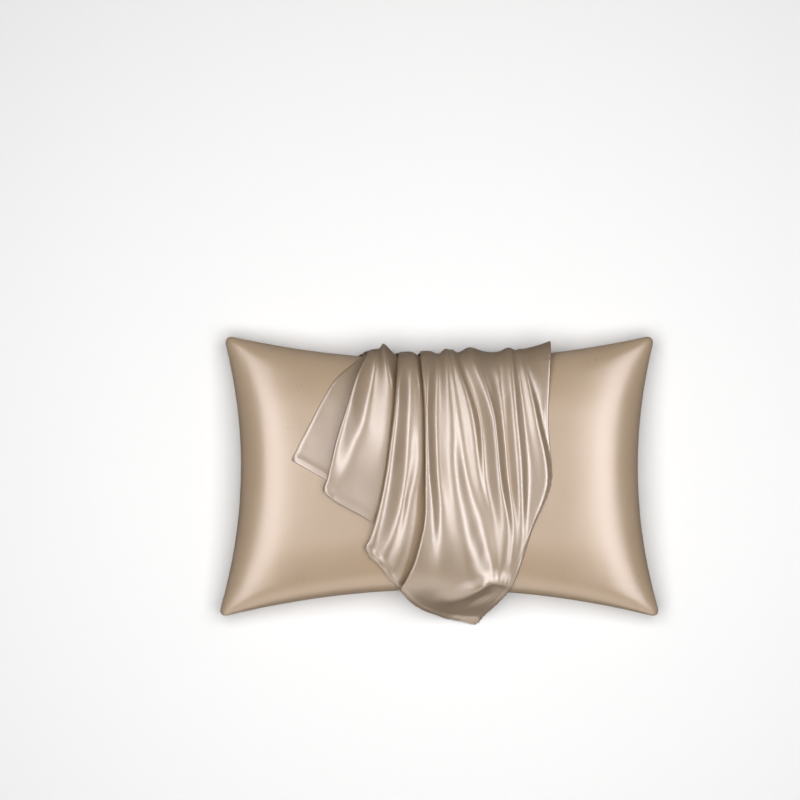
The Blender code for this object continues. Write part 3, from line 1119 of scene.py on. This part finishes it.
@dataclass(frozen=True)
class HemStitches:
    """The row of stitches that holds the hem of the open end, each a short spindle of thread."""

    pitch: float = 3.2 * MM
    length: float = 2.3 * MM
    thickness: float = 0.55 * MM
    sides: int = 6
    sink: float = 0.05 * MM

    SPINDLE = ((-0.5, 0.3), (-0.25, 1.0), (0.25, 1.0), (0.5, 0.3))  # place along it, thickness

    def build(self, case: DrapedCase, finish: bpy.types.Material) -> bpy.types.Object:
        """Sew along the hem of a case.

        Args:
            case: the draped case, once its cloth is built.
            finish: the thread's material.

        Returns:
            All the stitches as one piece.
        """
        knots = length_along(case.hem_top)
        at = np.arange(self.pitch, knots[-1] - self.pitch, self.pitch)
        place, up = (np.stack([np.interp(at, knots, values[:, k]) for k in range(3)], 1)
                     for values in (case.hem_top, case.hem_normal))
        along = unit(np.gradient(place, axis=0))
        side = np.cross(along, up)
        place = place + up * (self.thickness / 2 - self.sink) + np.array(case.middle)
        turn = np.linspace(0, 2 * np.pi, self.sides, endpoint=False)
        ring = self.thickness / 2 * (side[:, None] * np.cos(turn)[:, None]
                                     + up[:, None] * np.sin(turn)[:, None])
        rings = [place[:, None] + along[:, None] * self.length * share + ring * swell
                 for share, swell in self.SPINDLE]
        points = np.stack(rings, 1).reshape(-1, 3)
        index = np.arange(len(points)).reshape(len(at), len(rings), self.sides)
        index = np.concatenate([index, index[..., :1]], -1)
        faces = [grid_faces(index[:, k], index[:, k + 1]) for k in range(len(rings) - 1)]
        return make_piece("hem_stitches", points, np.concatenate(faces), finish)


# The studio


@dataclass(frozen=True)
class Softbox:
    """A soft light above the pillow or to one side of it, which faces it."""

    name: str
    place: tuple[float, float, float]
    size: tuple[float, float]
    power: float
    colour: Colour = (1.0, 1.0, 1.0)
    fill: bool = True               # whether it lights things
    gloss: bool = True              # whether the satin mirrors it

    def hang(self) -> None:
        """Add the light to the scene, turned to the pillow's middle."""
        light = bpy.data.lights.new(self.name, "AREA")
        light.shape = "RECTANGLE"
        light.size, light.size_y = self.size
        light.energy = self.power
        light.color = self.colour
        lamp = bpy.data.objects.new(self.name, light)
        lamp.location = self.place
        x, y, z = self.place
        lamp.rotation_euler = (math.atan2(-y, z), math.atan2(x, z), 0)
        lamp.visible_camera = False
        lamp.visible_diffuse = self.fill
        lamp.visible_glossy = self.gloss
        bpy.context.scene.collection.objects.link(lamp)


WARM: Colour = (1.0, 0.92, 0.82)
SOFTBOXES = (
    Softbox("key", (0.0, 0.0, 2.5), (2.4, 2.0), 80.0, gloss=False),
    Softbox("front_fill", (0.0, -2.4, 0.25), (2.4, 0.4), 6.0, WARM, gloss=False),
    Softbox("back_fill", (0.0, 2.4, 0.25), (2.4, 0.4), 4.0, WARM, gloss=False),
    Softbox("front_gleam", (0.0, -2.4, 0.10), (4.0, 1.6), 32.0, (1.0, 0.93, 0.84), fill=False),
    Softbox("ceiling_gleam", (0.0, 0.0, 2.5), (4.2, 2.4), 78.0, fill=False),
    Softbox("left_gleam", (-1.55, 0.0, 1.50), (0.70, 6.0), 72.0, fill=False),
    Softbox("right_gleam", (1.55, 0.0, 1.50), (0.70, 6.0), 84.0, fill=False),
)


@dataclass(frozen=True)
class Studio:
    """The pale floor, the soft lights and the camera straight above."""

    middle: Vector
    pixel: float = 1.72 * MM
    picture: int = 800
    pillow_at: tuple[float, float] = (439.3, 476.5)
    lens: float = 200.0
    sensor: float = 36.0
    focus_height: float = 0.06
    floor_side: float = 12.0
    floor_drop: float = 0.2 * MM
    daylight: float = 0.05

    def build(self) -> None:
        """Set up all of it."""
        self.lay_floor()
        self.set_daylight()
        for softbox in SOFTBOXES:
            softbox.hang()
        self.place_camera()

    def lay_floor(self) -> None:
        """A big plane a hair under the pillow, which the satin doesn't mirror."""
        half, low = self.floor_side / 2, -self.floor_drop
        signs = ((-1, -1), (1, -1), (1, 1), (-1, 1))
        corners = np.array([(x * half, y * half, low) for x, y in signs])
        floor = make_piece("floor", corners, np.array([[0, 1, 2, 3]]), PALE_FLOOR.build())
        floor.visible_glossy = False

    def set_daylight(self) -> None:
        """Even light from all round."""
        world = bpy.data.worlds.new("studio")
        world.use_nodes = True
        background = world.node_tree.nodes["Background"]
        background.inputs["Color"].default_value = (1.0, 1.0, 1.0, 1.0)
        background.inputs["Strength"].default_value = self.daylight
        bpy.context.scene.world = world

    def place_camera(self) -> None:
        """Look straight down, with the pillow's middle where the photograph has it."""
        lens = bpy.data.cameras.new("camera")
        lens.lens = self.lens
        lens.sensor_width = self.sensor
        camera = bpy.data.objects.new("camera", lens)
        frame_width = self.pixel * self.picture
        across = (self.picture / 2 - self.pillow_at[0]) * self.pixel
        along = (self.pillow_at[1] - self.picture / 2) * self.pixel
        height = self.focus_height + frame_width * self.lens / self.sensor
        camera.location = (self.middle.x + across, self.middle.y + along, height)
        bpy.context.scene.collection.objects.link(camera)
        bpy.context.scene.camera = camera


PILLOW_SATIN = Satin("pillow_satin_finish", light=(0.44, 0.325, 0.220), dark=(0.40, 0.290, 0.190))
CASE_SATIN = Satin("case_satin_finish", light=(0.288, 0.204, 0.124), dark=(0.246, 0.170, 0.096),
                   ior=2.45, roughness=0.39, gleam=(1.0, 0.96, 1.0))
HEM_THREAD = Matt("hem_thread_finish", (0.34, 0.26, 0.18), blot=0.4 * MM, shade=0.8,
                  roughness=0.5, uneven=0.2)
PALE_FLOOR = Matt("floor_pale", (0.90, 0.90, 0.90), blot=0.8, shade=0.985, roughness=0.9)


def pillow_middle() -> Vector:
    """Read where the pillow's solid lies.

    Returns:
        Its middle in plan, on the floor.
    """
    low, high = (Vector(corner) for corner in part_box("pillow"))
    middle = (low + high) / 2
    return Vector((middle.x, middle.y, 0.0))


def main() -> None:
    """Build the pillow, the case over it and the studio, in that order."""
    logging.basicConfig(level=logging.INFO, format="%(message)s")
    bpy.context.scene.view_settings.view_transform = "Standard"
    middle = pillow_middle()
    form = PillowForm()

    pillow = Pillow(form, middle).build(PILLOW_SATIN.build())
    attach(pillow, "root")
    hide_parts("pillow")
    log.info("pillow: %d faces", len(pillow.data.polygons))

    draped = DrapedCase(RestField(form, Lay()), middle)
    case = draped.build(CASE_SATIN.build())
    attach(case, "root")
    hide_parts("draped_case")
    log.info("draped case: %d faces", len(case.data.polygons))

    stitches = HemStitches().build(draped, HEM_THREAD.build())
    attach(stitches, "root")
    log.info("hem stitches: %d faces", len(stitches.data.polygons))

    Studio(middle).build()
    log.info("studio is set")


if __name__ == "__main__":
    main()
